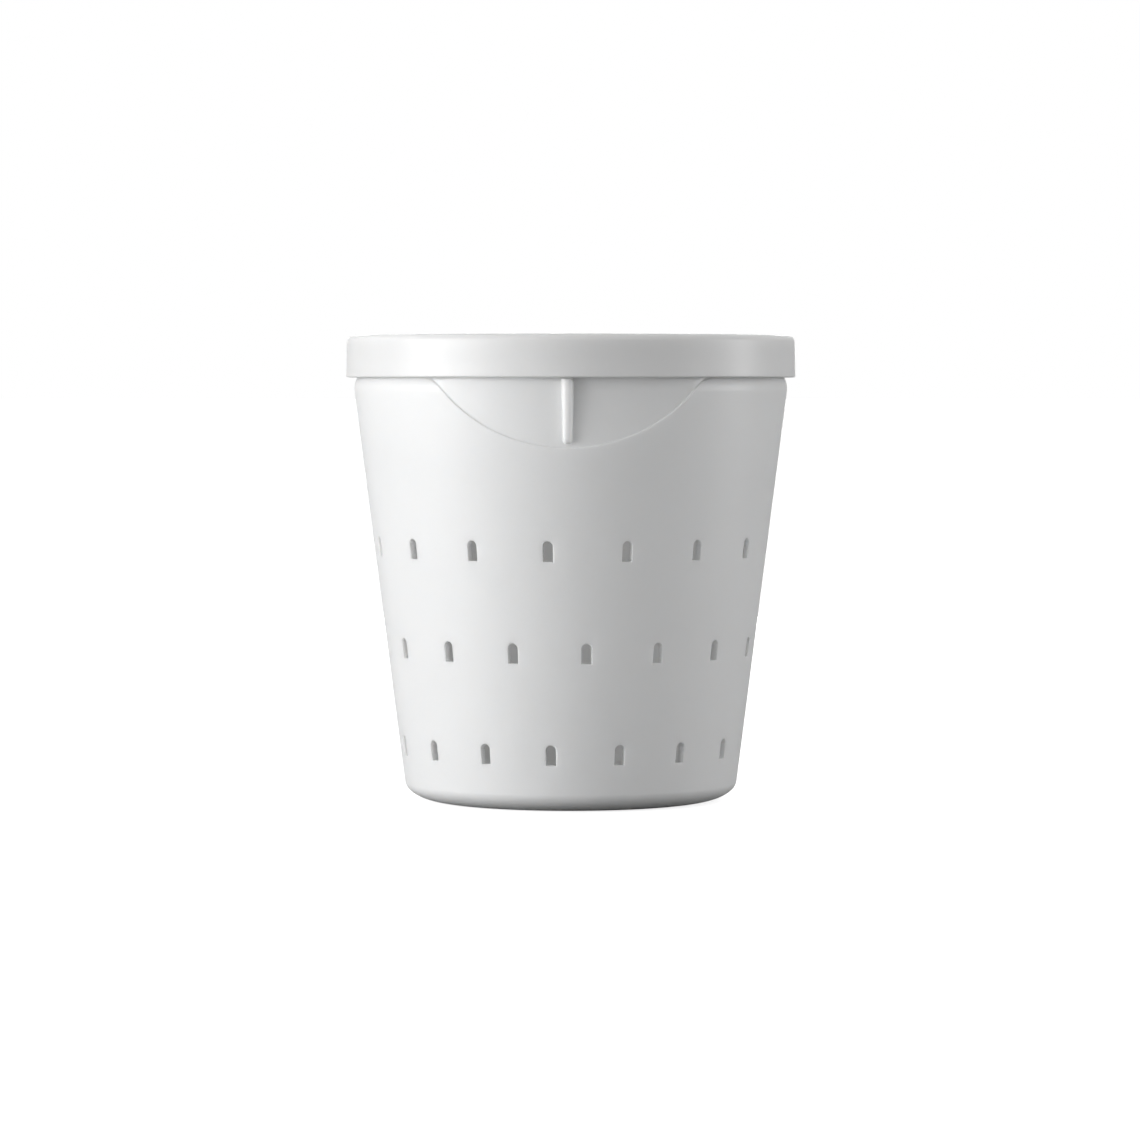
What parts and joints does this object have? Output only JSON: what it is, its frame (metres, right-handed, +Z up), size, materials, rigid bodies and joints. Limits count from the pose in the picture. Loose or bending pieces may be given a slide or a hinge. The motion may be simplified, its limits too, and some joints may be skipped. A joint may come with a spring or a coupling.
{
  "type": "cheese mold",
  "caption": "Tapered round fresh-cheese strainer basket with staggered drain slots, finger recesses with a rib and a push-on lid.",
  "frame": {"origin": "centre of the flat underside, on the ground plane", "axes": "+Z up along the basket's axis, -Y towards the front finger recess, +X to its right"},
  "size_m": [0.112, 0.112, 0.1159],
  "materials": {
    "basket_plastic": "satin moulded white polypropylene, slightly translucent",
    "lid_plastic": "satin moulded white polypropylene, opaque"
  },
  "bodies": {
    "basket": {"basket": "basket_plastic"},
    "lid": {"lid": "lid_plastic"}
  },
  "joints": [
    {"name": "lid_lift", "type": "slide", "parent": "basket", "child": "lid", "axis": [0, 0, 1], "range_m": [0, 0.06]}
  ]
}
